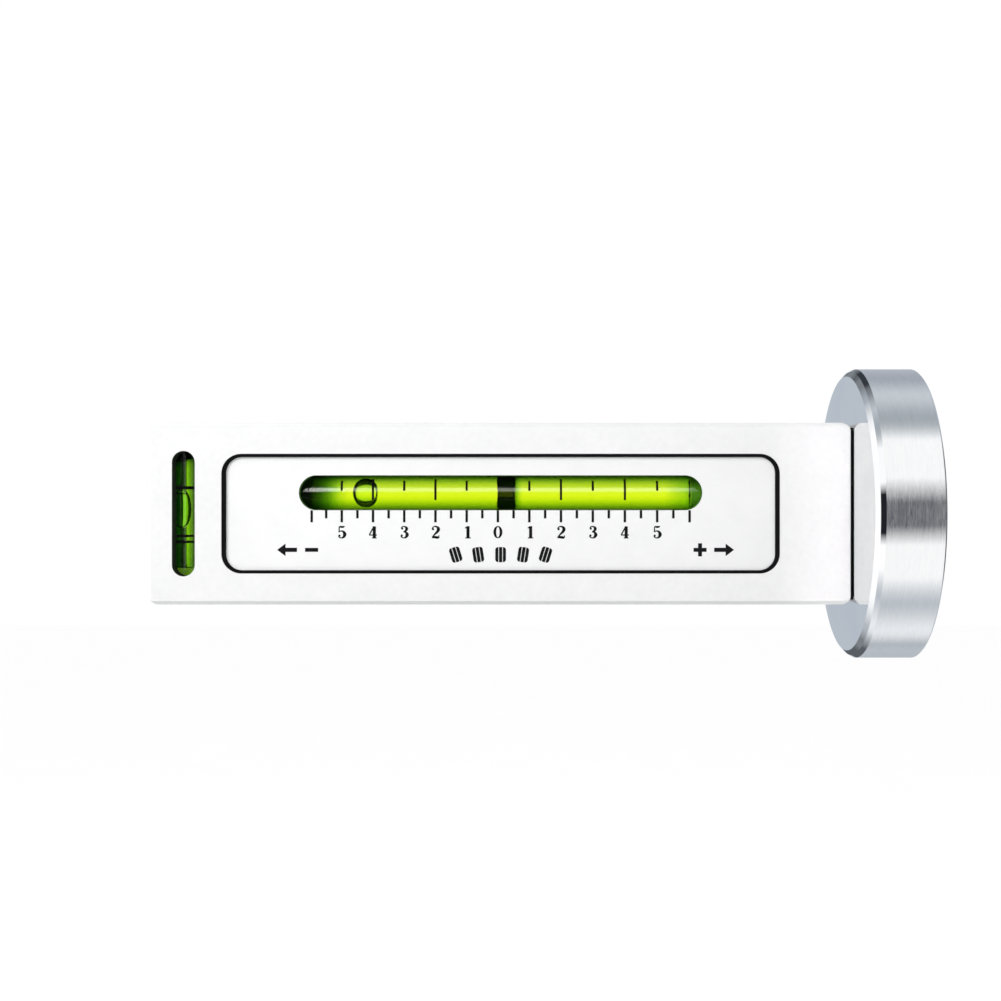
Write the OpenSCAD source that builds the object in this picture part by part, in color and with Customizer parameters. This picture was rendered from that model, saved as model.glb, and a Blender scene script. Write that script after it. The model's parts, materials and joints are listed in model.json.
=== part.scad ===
// Magnetic camber and caster gauge.
// The origin is the centre of the magnet's outer face. +X points out of that face, the bar runs
// along -X, the camber scale faces -Y and +Z is up.

/* [Body] */
// Length of the bar
body_len = 134.5; // [112:0.1:180]
// Height of the bar
body_h = 34.8; // [32:0.2:44]
// Thickness of the bar
body_t = 15; // [12:0.25:18]
// Radius of the bar's corners
body_corner_r = 1.8; // [1:0.2:3]
// Bevel along the long edges
body_bevel = 0.7; // [0.3:0.1:1]
// Bevel of the free end
body_end_bevel = 0.35; // [0.2:0.05:0.8]
// Bevel of the magnet end
body_joint_bevel = 0.1; // [0.05:0.05:0.4]
// Width of the shadow gap between the bar and the magnet
joint_gap = 0.3; // [0.2:0.05:1]
// Depth of the shadow gap
joint_depth = 0.9; // [0.5:0.1:3]

/* [Magnet] */
// Diameter of the steel cup
cup_d = 56.2; // [52:0.2:66]
// Depth of the cup, along the bar
cup_t = 12.65; // [10:0.05:15]
// Bevel round the cup's inner face, measured across
cup_bevel_r = 0.9; // [0.5:0.05:2]
// Bevel round the cup's inner face, measured along
cup_bevel_x = 0.8; // [0.5:0.05:2]
// Softer bevel between that and the rim, measured across
cup_edge_r = 0.5; // [0.1:0.05:0.8]
// Softer bevel between that and the rim, measured along
cup_edge_x = 0.9; // [0.2:0.05:1]
// Bevel round the cup's mounting face
cup_rim_bevel = 0.3; // [0.1:0.1:0.6]
// Thickness of the cup's back
cup_back_t = 4.5; // [3:0.5:5.5]
// Thickness of the cup's rim
cup_wall = 4; // [2:0.5:6]
// Diameter of the cup's centre pole
pole_d = 18; // [14:1:22]
// How far the magnet lies below the mounting face
magnet_recess = 0.5; // [0.2:0.1:1]
// How far the resin lies below the mounting face
resin_recess = 0.3; // [0.1:0.1:0.6]
// Width of the resin ring outside the magnet
resin_outer = 1; // [0.5:0.25:2]
// Width of the resin ring inside the magnet
resin_inner = 2; // [0.5:0.25:3]

/* [Stud and dowels] */
// Diameter of the stud
stud_d = 6; // [4:0.5:6.5]
// Length of the stud
stud_len = 20; // [16:1:24]
// Length of the stud that sits in the cup
stud_in_cup = 7; // [5:0.5:8]
// Bevel on each end of the stud
stud_bevel = 0.5; // [0.2:0.1:1]
// Diameter of the dowels
dowel_d = 3; // [2:0.25:4]
// Length of the dowels
dowel_len = 7.5; // [6:0.5:8]
// Length of a dowel that sits in the cup
dowel_in_cup = 2.5; // [2:0.25:2.75]
// Distance between the dowels
dowel_spacing = 22; // [18:1:24]
// Diameter of the screw that locks the stud
lock_screw_d = 4; // [3:0.5:5]
// Gap between the bar's bottom edge and the screw that locks the stud
lock_screw_drop = 2.5; // [1:0.5:6]
// Distance from the bar's magnet end to the lock screw
lock_screw_from_end = 8.5; // [8:0.5:10]

/* [Camber scale] */
// Distance from each end of the bar to the scale recess
recess_from_end = 13.85; // [13:0.05:18]
// Distance from each long edge of the bar to the scale recess
recess_from_edge = 5.95; // [5:0.05:7]
// Corner radius of the scale recess
recess_corner_r = 3.8; // [2:0.2:5]
// Depth of the front recess
front_depth = 1.2; // [1:0.05:1.5]
// Thickness of the camber scale plate
camber_plate_t = 0.5; // [0.3:0.05:0.6]
// Width of the gasket at the recess's two ends
gasket_side = 0.85; // [0.5:0.05:1.2]
// Width of the gasket along the recess's long sides
gasket_edge = 0.62; // [0.4:0.02:1]
// How far the front gasket lies below the bar's face
gasket_drop = 0.3; // [0.1:0.05:0.4]

/* [Camber vial] */
// Diameter of the long vial
vial_d = 8; // [7.4:0.1:8.2]
// Wall of the long vial
vial_wall = 0.7; // [0.5:0.05:1]
// Distance from each end of the scale recess to the long vial
vial_from_recess = 11.85; // [10:0.05:14]
// Height of the long vial above the bar's centre line
vial_rise = 4; // [3.5:0.1:4.5]
// Length of each end plug of the long vial
vial_plug_len = 4.6; // [3:0.2:6]
// Distance from each end of the long vial to the camber window
window_from_vial = 2.9; // [2.5:0.1:5]
// Height of the camber window
window_h = 6.7; // [5:0.1:7]
// Diameter of the camber bubble
bubble_d = 5.2; // [3:0.1:5.8]
// Place of the camber bubble towards the free end, as a share of half the vial's length
bubble_place_share = 0.632; // [0:0.001:0.75]

/* [Level vial] */
// Diameter of the cross-level vial
level_d = 6; // [5:0.1:6.2]
// Wall of the cross-level vial
level_wall = 0.6; // [0.4:0.05:0.8]
// Distance from each long edge of the bar to the cross-level vial
level_from_edge = 4.3; // [4:0.1:6]
// Distance from the bar's free end to the middle of the cross-level vial
level_from_end = 5.2; // [5.2:0.1:8]
// Distance from the bar's free end to the middle of the cross-level window
level_window_from_end = 6.6; // [6:0.1:8]
// Width of the cross-level window
level_window_w = 4.4; // [3:0.1:5]
// Distance from each end of the cross-level vial to its window
level_window_inset = 1.1; // [1:0.1:3]
// Length of each end plug of the cross-level vial
level_plug_len = 2.5; // [1.5:0.1:3]
// Diameter of the level bubble
level_bubble_d = 3.8; // [3:0.1:4.2]
// Length of the level bubble
level_bubble_len = 7.6; // [5:0.1:9]
// Height of the level bubble above the vial's middle
level_bubble_rise = 0.9; // [0:0.1:2]
// Thickness of the dark bands on the cross-level vial
band_t = 0.15; // [0.1:0.05:0.15]
// Height of the dark band above the bubble
band_top_h = 0.6; // [0.3:0.1:1]
// Height of each of the two dark bands below the bubble
band_low_h = 0.35; // [0.2:0.05:0.6]
// Distance from the vial's middle to the dark bands
band_spread = 5; // [4.5:0.1:6]
// Distance between the two dark bands below the bubble
band_pitch = 1.15; // [0.8:0.05:1.5]
// Gap between the bar's top edge and the plug of the cross-level bore
bore_plug_drop = 0.3; // [0.1:0.1:1]

/* [Caster side] */
// Depth of the rear recess
rear_depth = 1.6; // [1.4:0.05:1.7]
// Thickness of the caster scale plate
caster_plate_t = 1.2; // [1.1:0.05:1.3]
// Distance from the camber window's ends to the caster windows' ends
caster_window_inset = 1; // [1:0.1:6]
// Width of the bridge between the two caster windows
bridge_w = 3.4; // [2:0.2:5]
// Distance of the bridge from the middle of the scale, towards the magnet
bridge_offset = 1.1; // [0:0.1:2]
// Diameter of the plate screws
plate_screw_d = 2; // [1.6:0.1:2.5]
// Diameter of the plate screws' heads
plate_screw_head_d = 3.8; // [3.4:0.1:4.2]
// Height of the plate screws' heads
plate_screw_head_h = 1; // [0.8:0.05:1]
// Length of the plate screws
plate_screw_len = 6; // [4:0.5:8]
// Distance from the recess's ends to the plate screws
plate_screw_inset_x = 4.2; // [3.5:0.1:5]
// Distance from the recess's long sides to the plate screws
plate_screw_inset_z = 3.75; // [3.2:0.05:4]
// Across flats of the plate screws' hexagon sockets
plate_screw_socket = 1.3; // [0.9:0.1:1.5]

/* [Trim screws and pads] */
// Diameter of the two screws that trim the long vial
trim_screw_d = 3; // [2:0.5:4]
// Gap between the bar's top edge and the trim screws
trim_screw_drop = 3.5; // [1:0.5:5]
// Distance from the vial's ends to the trim screws
trim_screw_inset = 2.5; // [2:0.1:4]
// Height of the rubber pads behind the long vial
pad_h = 3; // [2:0.2:4]
// Width of the two outer pads
pad_w = 3.6; // [2:0.2:4]

/* [Fits] */
// Gap round each vial in its seat
vial_gap = 0.1; // [0.05:0.05:0.15]
// Gap between the cross-level vial and its bore
level_gap = 0.2; // [0.15:0.05:0.3]
// Gap between the camber bubble and the vial's wall
bubble_gap = 0.15; // [0.1:0.05:0.3]
// Gap between each bubble and the liquid
liquid_gap = 0.1; // [0.05:0.05:0.2]
// Gap between the caster plate's screws and its holes
screw_gap = 0.1; // [0.05:0.05:0.2]
// Gap left at the blind end of each drilled hole
hole_tip = 0.5; // [0.2:0.1:1]

/* [Hidden] */
$fn = 96;

// Overrun of each cut past the face that it opens
cut = 1;

// The bar's ends and faces
right_x = -cup_t;
left_x = right_x - body_len;
front_y = -body_t / 2;
rear_y = body_t / 2;
top_z = body_h / 2;

// The bar's outer faces stop short of the magnet, by the shadow gap
skin_right_x = right_x - joint_gap;

// The two recesses and what lies in them
recess_len = body_len - 2 * recess_from_end;
recess_h = body_h - 2 * recess_from_edge;
scale_x = (left_x + right_x) / 2;
front_floor_y = front_y + front_depth;
rear_floor_y = rear_y - rear_depth;
plate_len = recess_len - 2 * gasket_side;
plate_h = recess_h - 2 * gasket_edge;
plate_corner_r = recess_corner_r - (gasket_side + gasket_edge) / 2;
caster_face_y = rear_floor_y + caster_plate_t;

// The long vial, on the bar's middle plane
vial_x = scale_x;
vial_len = recess_len - 2 * vial_from_recess;
window_len = vial_len - 2 * window_from_vial;
vial_bore_r = vial_d / 2 - vial_wall;
vial_left_x = vial_x - vial_len / 2;
vial_right_x = vial_x + vial_len / 2;
seat_r = vial_d / 2 + vial_gap;
fluid_left_x = vial_left_x + vial_plug_len;
fluid_right_x = vial_right_x - vial_plug_len;
bubble_x = vial_x - bubble_place_share * vial_len / 2;
bubble_y = bubble_d / 2 + bubble_gap - vial_bore_r;

// The cross-level vial, also on the middle plane
level_x = left_x + level_from_end;
level_len = body_h - 2 * level_from_edge;
level_window_h = level_len - 2 * level_window_inset;
level_window_x = left_x + level_window_from_end;
level_bore_r = level_d / 2 - level_wall;
level_hole_r = level_d / 2 + level_gap;
level_bubble_aside = level_bore_r - level_bubble_d / 2 - bubble_gap;
level_bubble_x = level_x - level_bubble_aside;

// The two caster windows, one on each side of the bridge
bridge_x = scale_x + bridge_offset;
caster_outer_left = scale_x - window_len / 2 + caster_window_inset;
caster_outer_right = scale_x + window_len / 2 - caster_window_inset;
caster_inner_left = bridge_x - bridge_w / 2;
caster_inner_right = bridge_x + bridge_w / 2;

// The trim screws stand on the long vial
trim_screw_z = vial_rise + vial_d / 2;
trim_screw_len = top_z - trim_screw_drop - trim_screw_z;
trim_screw_xs = [vial_left_x + trim_screw_inset, vial_right_x - trim_screw_inset];

// The stud, its lock screw and the dowels
stud_tip_x = right_x + stud_in_cup - stud_len;
lock_screw_x = right_x - lock_screw_from_end;
lock_screw_top_z = -stud_d / 2;
lock_screw_len = top_z - lock_screw_drop + lock_screw_top_z;
dowel_left_x = right_x + dowel_in_cup - dowel_len;

// The plate screws' places
plate_screw_x = recess_len / 2 - plate_screw_inset_x;
plate_screw_z = recess_h / 2 - plate_screw_inset_z;

// Across-flats sockets are drawn as six-sided cylinders
flats_to_r = 1 / sqrt(3);
socket_share = 0.5;

// Extrudes a front view from y_from to y_to
module from_front(y_from, y_to) {
    translate([0, y_to, 0]) rotate([90, 0, 0]) linear_extrude(y_to - y_from) children();
}

// Extrudes a side view from x_from to x_to
module from_side(x_from, x_to) {
    translate([x_from, 0, 0]) rotate([90, 0, 90]) linear_extrude(x_to - x_from) children();
}

// A cylinder along X
module rod_x(x_from, x_to, r) {
    translate([x_from, 0, 0]) rotate([0, 90, 0]) cylinder(h = x_to - x_from, r = r);
}

// A cylinder along Z
module rod_z(z_from, z_to, r) {
    translate([0, 0, z_from]) cylinder(h = z_to - z_from, r = r);
}

// A rectangle with round corners, centred
module round_rect(len, high, r) {
    square([len, high - 2 * r], center = true);
    square([len - 2 * r, high], center = true);
    for (x = [-1, 1], z = [-1, 1]) translate([x * (len / 2 - r), z * (high / 2 - r)]) circle(r);
}

// A rectangle with bevelled corners, centred
module bevel_rect(len, high, bevel) {
    x = len / 2;
    z = high / 2;
    polygon([
        [-x + bevel, -z], [x - bevel, -z], [x, -z + bevel], [x, z - bevel],
        [x - bevel, z], [-x + bevel, z], [-x, z - bevel], [-x, -z + bevel]
    ]);
}

// A slot with round ends, along X, centred
module slot(len, high) {
    square([len - high, high], center = true);
    for (x = [-1, 1]) translate([x * (len - high) / 2, 0]) circle(high / 2);
}

// A grub screw along Z, its tip at z_tip and its socket at the other end
module grub_screw(z_tip, z_end, d) {
    up = z_end > z_tip ? 1 : -1;
    socket = d * socket_share;
    difference() {
        rod_z(min(z_tip, z_end), max(z_tip, z_end), d / 2);
        translate([0, 0, z_end + up * cut])
            mirror([0, 0, up > 0 ? 1 : 0])
                cylinder(h = cut + socket, r = socket * flats_to_r, $fn = 6);
    }
}

// The plan view of the bar: each end has its own bevel
module bar_plan() {
    a = body_end_bevel;
    b = body_joint_bevel;
    polygon([
        [left_x + a, front_y], [skin_right_x - b, front_y], [skin_right_x, front_y + b],
        [skin_right_x, rear_y - b], [skin_right_x - b, rear_y], [left_x + a, rear_y],
        [left_x, rear_y - a], [left_x, front_y + a]
    ]);
}

// The outer shape of the bar, with its round corners and bevelled edges
module bar_blank() {
    skin_len = body_len - joint_gap;
    intersection() {
        from_front(front_y, rear_y) translate([(left_x + skin_right_x) / 2, 0])
            round_rect(skin_len, body_h, body_corner_r);
        from_side(left_x, skin_right_x) bevel_rect(body_t, body_h, body_bevel);
        translate([0, 0, -top_z]) linear_extrude(body_h) bar_plan();
    }
    from_side(skin_right_x, right_x)
        square([body_t - 2 * joint_depth, body_h - 2 * joint_depth], center = true);
}

// The front view of both scale recesses
module recess_outline() {
    translate([scale_x, 0]) round_rect(recess_len, recess_h, recess_corner_r);
}

// The front view of both scale plates
module plate_outline() {
    translate([scale_x, 0]) round_rect(plate_len, plate_h, plate_corner_r);
}

module camber_window() {
    translate([scale_x, vial_rise]) slot(window_len, window_h);
}

module level_window() {
    translate([level_window_x, 0]) rotate(90) slot(level_window_h, level_window_w);
}

module caster_windows() {
    for (span = [[caster_outer_left, caster_inner_left], [caster_inner_right, caster_outer_right]])
        translate([(span[0] + span[1]) / 2, vial_rise]) slot(span[1] - span[0], window_h);
}

// The seat of the long vial: round in front, open to the rear recess
module vial_seat() {
    x_from = vial_left_x - vial_gap;
    x_to = vial_right_x + vial_gap;
    translate([0, 0, vial_rise]) {
        rod_x(x_from, x_to, seat_r);
        translate([x_from, 0, -seat_r]) cube([x_to - x_from, rear_floor_y + cut, 2 * seat_r]);
    }
}

// Puts what follows at each plate screw
module at_plate_screws() {
    for (x = [-1, 1], z = [-1, 1])
        translate([scale_x + x * plate_screw_x, 0, z * plate_screw_z]) children();
}

module body_bar() {
    level_floor_z = -level_len / 2 - vial_gap;
    color([0.93, 0.94, 0.95])
    difference() {
        bar_blank();
        from_front(front_y - cut, front_floor_y) recess_outline();
        from_front(rear_floor_y, rear_y + cut) recess_outline();
        from_front(front_y - cut, 0) camber_window();
        from_front(front_y - cut, rear_y + cut) level_window();
        vial_seat();
        translate([level_x, 0, 0]) rod_z(level_floor_z, top_z + cut, level_hole_r);
        for (x = trim_screw_xs) translate([x, 0, 0]) rod_z(vial_rise, top_z + cut, trim_screw_d / 2);
        rod_x(stud_tip_x - hole_tip, right_x + cut, stud_d / 2);
        for (z = [-1, 1]) translate([0, 0, z * dowel_spacing / 2])
            rod_x(dowel_left_x - hole_tip, right_x + cut, dowel_d / 2);
        translate([lock_screw_x, 0, 0]) rod_z(-top_z - cut, 0, lock_screw_d / 2);
        at_plate_screws() rotate([-90, 0, 0])
            rod_z(caster_face_y - plate_screw_len - hole_tip, rear_y + cut, plate_screw_d / 2);
    }
}

module camber_scale_plate() {
    color([0.95, 0.95, 0.96])
    from_front(front_floor_y - camber_plate_t, front_floor_y) difference() {
        plate_outline();
        camber_window();
    }
}

// A ring between a recess's wall and its plate
module gasket(y_from, y_to) {
    from_front(y_from, y_to) difference() {
        recess_outline();
        plate_outline();
    }
}

module camber_scale_gasket() {
    color([0.04, 0.04, 0.05]) gasket(front_y + gasket_drop, front_floor_y);
}

module caster_scale_gasket() {
    color([0.04, 0.04, 0.05]) gasket(rear_floor_y, rear_y - gasket_drop);
}

module camber_vial_tube() {
    color([0.85, 0.95, 0.85, 0.35])
    translate([0, 0, vial_rise]) difference() {
        rod_x(vial_left_x, vial_right_x, vial_d / 2);
        rod_x(vial_left_x - cut, vial_right_x + cut, vial_bore_r);
    }
}

module camber_vial_fluid() {
    color([0.75, 0.95, 0.1, 0.8])
    difference() {
        translate([0, 0, vial_rise]) rod_x(fluid_left_x, fluid_right_x, vial_bore_r);
        translate([bubble_x, bubble_y, vial_rise]) sphere(bubble_d / 2 + liquid_gap);
    }
}

module camber_bubble() {
    color([0.9, 1, 0.8, 0.5]) translate([bubble_x, bubble_y, vial_rise]) sphere(bubble_d / 2);
}

module camber_vial_plug_left() {
    color([0.1, 0.2, 0.08]) translate([0, 0, vial_rise]) rod_x(vial_left_x, fluid_left_x, vial_bore_r);
}

module camber_vial_plug_right() {
    color([0.1, 0.2, 0.08]) translate([0, 0, vial_rise]) rod_x(fluid_right_x, vial_right_x, vial_bore_r);
}

module level_vial_tube() {
    color([0.85, 0.95, 0.85, 0.35])
    translate([level_x, 0, 0]) difference() {
        rod_z(-level_len / 2, level_len / 2, level_d / 2);
        rod_z(-level_len / 2 - cut, level_len / 2 + cut, level_bore_r);
    }
}

// A rod with round ends, along Z, centred on the level bubble
module level_pill(grow) {
    r = level_bubble_d / 2;
    half = level_bubble_len / 2 - r;
    translate([level_bubble_x, 0, level_bubble_rise]) {
        rod_z(-half, half, r + grow);
        for (z = [-1, 1]) translate([0, 0, z * half]) sphere(r + grow);
    }
}

module level_vial_fluid() {
    half = level_len / 2 - level_plug_len;
    color([0.6, 0.9, 0.1, 0.8])
    difference() {
        translate([level_x, 0, 0]) rod_z(-half, half, level_bore_r);
        level_pill(liquid_gap);
    }
}

module level_bubble() {
    color([0.9, 1, 0.8, 0.5]) level_pill(0);
}

// One dark band round the cross-level vial
module level_band(z, high) {
    translate([level_x, 0, 0]) difference() {
        rod_z(z - high / 2, z + high / 2, level_d / 2 + band_t);
        rod_z(z - high / 2 - cut, z + high / 2 + cut, level_d / 2);
    }
}

module level_vial_bands() {
    color([0.02, 0.05, 0.02]) {
        level_band(band_spread, band_top_h);
        for (side = [-1, 1]) level_band(-band_spread + side * band_pitch / 2, band_low_h);
    }
}

module level_vial_plug_bottom() {
    color([0.1, 0.2, 0.08]) translate([level_x, 0, 0])
        rod_z(-level_len / 2, -level_len / 2 + level_plug_len, level_bore_r);
}

module level_vial_plug_top() {
    color([0.1, 0.2, 0.08]) translate([level_x, 0, 0])
        rod_z(level_len / 2 - level_plug_len, level_len / 2, level_bore_r);
}

module level_bore_plug() {
    color([0.85, 0.86, 0.88]) translate([level_x, 0, 0])
        rod_z(level_len / 2, top_z - bore_plug_drop, level_hole_r);
}

module caster_scale_plate() {
    head_r = plate_screw_head_d / 2 + screw_gap;
    shank_r = plate_screw_d / 2 + screw_gap;
    color([0.95, 0.95, 0.96])
    difference() {
        from_front(rear_floor_y, caster_face_y) difference() {
            plate_outline();
            caster_windows();
        }
        at_plate_screws() rotate([-90, 0, 0]) {
            rod_z(rear_floor_y - cut, caster_face_y + cut, shank_r);
            translate([0, 0, caster_face_y - plate_screw_head_h])
                cylinder(h = plate_screw_head_h, r1 = shank_r, r2 = head_r);
        }
    }
}

module caster_plate_screws() {
    socket_depth = plate_screw_socket * socket_share;
    color([0.6, 0.6, 0.62])
    at_plate_screws() rotate([-90, 0, 0]) difference() {
        union() {
            rod_z(caster_face_y - plate_screw_len, caster_face_y - plate_screw_head_h / 2, plate_screw_d / 2);
            translate([0, 0, caster_face_y - plate_screw_head_h])
                cylinder(h = plate_screw_head_h, r1 = plate_screw_d / 2, r2 = plate_screw_head_d / 2);
        }
        translate([0, 0, caster_face_y - socket_depth])
            cylinder(h = socket_depth + cut, r = plate_screw_socket * flats_to_r, $fn = 6);
    }
}

// Strips between the long vial and the rear plate, at its ends and behind the bridge
module vial_rear_pads() {
    pad_t = rear_floor_y - vial_d / 2;
    color([0.05, 0.05, 0.05])
    for (pad = [
        [vial_left_x + pad_w / 2, pad_w],
        [bridge_x, bridge_w],
        [vial_right_x - pad_w / 2, pad_w]
    ]) translate([pad[0] - pad[1] / 2, vial_d / 2, vial_rise - pad_h / 2]) cube([pad[1], pad_t, pad_h]);
}

module vial_set_screws() {
    color([0.15, 0.15, 0.16])
    for (x = trim_screw_xs) translate([x, 0, 0])
        grub_screw(trim_screw_z, trim_screw_z + trim_screw_len, trim_screw_d);
}

// A turned shape about X, from its profile of radius and place
module turned() {
    rotate([0, 90, 0]) rotate_extrude() children();
}

module magnet_cup() {
    r = cup_d / 2;
    edge_r = r - cup_edge_r;
    edge_x = -cup_t + cup_bevel_x;
    wall_r = r - cup_wall;
    back_x = -cup_t + cup_back_t;
    stud_end_x = -cup_t + stud_in_cup;
    color([0.78, 0.8, 0.83])
    difference() {
        turned() polygon([
            [stud_d / 2, -cup_t], [edge_r - cup_bevel_r, -cup_t], [edge_r, edge_x],
            [r, edge_x + cup_edge_x], [r, -cup_rim_bevel], [r - cup_rim_bevel, 0], [wall_r, 0],
            [wall_r, back_x], [pole_d / 2, back_x], [pole_d / 2, 0], [0, 0],
            [0, stud_end_x], [stud_d / 2, stud_end_x]
        ]);
        for (z = [-1, 1]) translate([0, 0, z * dowel_spacing / 2])
            rod_x(-cup_t - cut, -cup_t + dowel_in_cup, dowel_d / 2);
    }
}

// A flat ring about X
module flat_ring(x_from, x_to, r_in, r_out) {
    turned() translate([r_in, x_from]) square([r_out - r_in, x_to - x_from]);
}

module ring_magnet() {
    color([0.22, 0.22, 0.23])
    flat_ring(
        -cup_t + cup_back_t, -magnet_recess,
        pole_d / 2 + resin_inner, cup_d / 2 - cup_wall - resin_outer
    );
}

module magnet_potting() {
    back_x = -cup_t + cup_back_t;
    wall_r = cup_d / 2 - cup_wall;
    color([0.06, 0.06, 0.07]) {
        flat_ring(back_x, -resin_recess, pole_d / 2, pole_d / 2 + resin_inner);
        flat_ring(back_x, -resin_recess, wall_r - resin_outer, wall_r);
    }
}

module mounting_stud() {
    r = stud_d / 2;
    x_to = stud_tip_x + stud_len;
    color([0.6, 0.6, 0.62])
    turned() polygon([
        [0, stud_tip_x], [r - stud_bevel, stud_tip_x], [r, stud_tip_x + stud_bevel],
        [r, x_to - stud_bevel], [r - stud_bevel, x_to], [0, x_to]
    ]);
}

module stud_lock_screw() {
    color([0.15, 0.15, 0.16]) translate([lock_screw_x, 0, 0])
        grub_screw(lock_screw_top_z, lock_screw_top_z - lock_screw_len, lock_screw_d);
}

module locating_dowels() {
    color([0.6, 0.6, 0.62])
    for (z = [-1, 1]) translate([0, 0, z * dowel_spacing / 2])
        rod_x(dowel_left_x, right_x + dowel_in_cup, dowel_d / 2);
}

body_bar();
camber_scale_plate();
camber_scale_gasket();
camber_vial_tube();
camber_vial_fluid();
camber_bubble();
camber_vial_plug_left();
camber_vial_plug_right();
level_vial_tube();
level_vial_fluid();
level_bubble();
level_vial_bands();
level_vial_plug_bottom();
level_vial_plug_top();
level_bore_plug();
caster_scale_plate();
caster_scale_gasket();
caster_plate_screws();
vial_rear_pads();
vial_set_screws();
magnet_cup();
ring_magnet();
magnet_potting();
mounting_stud();
stud_lock_screw();
locating_dowels();
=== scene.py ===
"""Looks of the camber caster gauge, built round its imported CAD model.

Lengths here are in mm. new_mesh(), the lamps and the camera turn them into metres.
"""

import json
import math

import bpy
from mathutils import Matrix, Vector


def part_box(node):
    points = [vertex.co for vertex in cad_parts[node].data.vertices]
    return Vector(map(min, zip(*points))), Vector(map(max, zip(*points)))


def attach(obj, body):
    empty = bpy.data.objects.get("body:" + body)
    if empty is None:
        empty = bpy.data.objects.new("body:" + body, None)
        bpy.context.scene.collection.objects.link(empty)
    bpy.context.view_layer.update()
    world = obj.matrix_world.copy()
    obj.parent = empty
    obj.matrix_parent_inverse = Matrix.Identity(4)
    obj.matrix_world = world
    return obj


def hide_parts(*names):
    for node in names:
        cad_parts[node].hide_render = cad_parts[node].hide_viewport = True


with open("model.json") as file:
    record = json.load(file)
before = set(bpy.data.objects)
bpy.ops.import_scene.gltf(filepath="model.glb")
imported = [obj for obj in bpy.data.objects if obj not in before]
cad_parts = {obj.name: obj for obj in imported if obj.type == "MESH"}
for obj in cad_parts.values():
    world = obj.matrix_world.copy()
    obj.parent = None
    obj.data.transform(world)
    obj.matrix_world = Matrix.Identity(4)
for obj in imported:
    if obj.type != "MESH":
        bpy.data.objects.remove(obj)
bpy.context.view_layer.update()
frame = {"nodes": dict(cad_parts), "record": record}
nodes = frame["nodes"]

MM = 0.001

# The camera looks straight along +Y
CAMERA_PLACE = (-79.92, -321.5, 2.52)
CAMERA_LENS = 59.09
CAMERA_SENSOR = 36.0
CAMERA_CLIP = (0.01, 20.0)

# The camber scale's degrees, from the plate's middle
ZERO_X = -0.52
DEGREE_LEFT = 5.98
DEGREE_RIGHT = 6.0
DEGREE_GROWTH = 0.02
LAST_LEFT = 35.66
HALF_DEGREES = 12
NUMBERED_DEGREES = 5

# The caster scale's degrees, from the plate's middle
CASTER_ZERO = 1.1
CASTER_DEGREE = 2.75
CASTER_DEGREES = 12
CASTER_NUMBER_EVERY = 3

# The print on both scales. Each shape lies a little higher than the last, so no two share a face.
PRINT_THICK = 0.02
PRINT_STEP = 0.0005
PRINT_STEPS = 7
TICK_WIDE = 0.47
TICK_LONG = 2.3
TICK_SHORT = 1.55
NUMERAL_HIGH = 2.34
NUMERAL_Z = -4.71
NUMERAL_WIDE = 1.18
NUMERAL_STEP_SHARE = 0.72
PEN_WEIGHT = 1.68
DOT_SWELL = 1.3

# The signs beside the scales, and the leaning wheels under the camber scale
SIGN_Z = -6.93
SIGN_LONG = 2.5
SIGN_STROKE = 0.75
ARROW_HALF = 1.9
ARROW_NECK = 0.3
ARROW_LAP = 0.1
ARROW_SHAFT = 0.8
ARROW_HEAD_HALF = 1.2
CAMBER_SIGNS = (("left", -40.9), ("minus", -36.2), ("plus", 38.2), ("right", 42.8))
CASTER_SIGNS = (("plus", -34.4), ("left", -39.2), ("minus", 36.6), ("right", 41.4))
WHEEL_Z = -7.85
WHEEL_STEP = 4.3
WHEEL_LEAN = 0.15
WHEELS_ASIDE = 2
TYRE_RIB = 0.62
TYRE_HIGH = 2.9
TYRE_SHOULDER = ((0.43, 1.45), (0.80, 1.38), (1.02, 1.05))

# The slot over the long vial, and the marks on the vial: degrees, width, and low and high ends
SLOT_HALF = 3.35
SLOT_INSET = 2.9
MARK_SPREAD = 1.0095
MARK_SUNK = 0.005
VIAL_MARKS = (
    ((-5, -3, -1, 1, 3, 5), 0.44, ((4.4, 6.33),)),
    ((-4, -2, 2, 4), 0.44, ((2.6, 6.65),)),
    ((6,), 0.36, ((5.6, 6.4), (3.2, 3.9))),
)

# The liquids' rods and the smooth bubble
ROD_SLACK = 0.003
ROD_SHOULDER = 0.25
ROD_SHOULDER_CUT = 0.3
BUBBLE_FULLNESS = 0.85

# The groove between the bar and the cup, painted black as its shade
JOINT_GAP = 0.3

# The shade that the bridge of the rear plate throws on the liquid
SHADE_X = -77.5

# The floor
FLOOR_Z = -250.0
FLOOR_SIZE = 6000.0
FLOOR_GLOW = 0.38

# The lamps. The narrow one stands for the light that the polished disc throws on the bar's end.
KEY_PLACE = (-380, -300, 260)
KEY_TARGET = (-130, 0, 0)
KEY_SIZE = (300, 300)
KEY_POWER = 1.7
END_LAMP_IN = 0.8
END_LAMP_FAR = 150.0
END_LAMP_SIZE = (1.0, 80)
END_LAMP_POWER = 0.0012
END_LAMP_SPREAD = 12.0

# How much of a noise's range a surface's tones and roughness take up
TONE_SPAN = (0.36, 0.64)
EVEN_SPAN = (0.35, 0.65)
ROUGH_SPAN = (0.3, 0.7)


# ---------------------------------------------------------------- node helpers
def add(tree, kind, inputs=None, **settings):
    """Adds a shader node. An input is a value or another node's socket."""
    made = tree.nodes.new("ShaderNode" + kind)
    for name, value in settings.items():
        setattr(made, name, value)
    for name, value in (inputs or {}).items():
        if isinstance(value, bpy.types.NodeSocket):
            tree.links.new(value, made.inputs[name])
        else:
            made.inputs[name].default_value = value
    return made


def calc(tree, operation, a, b=0.0):
    return add(tree, "Math", {0: a, 1: b}, operation=operation).outputs[0]


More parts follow.
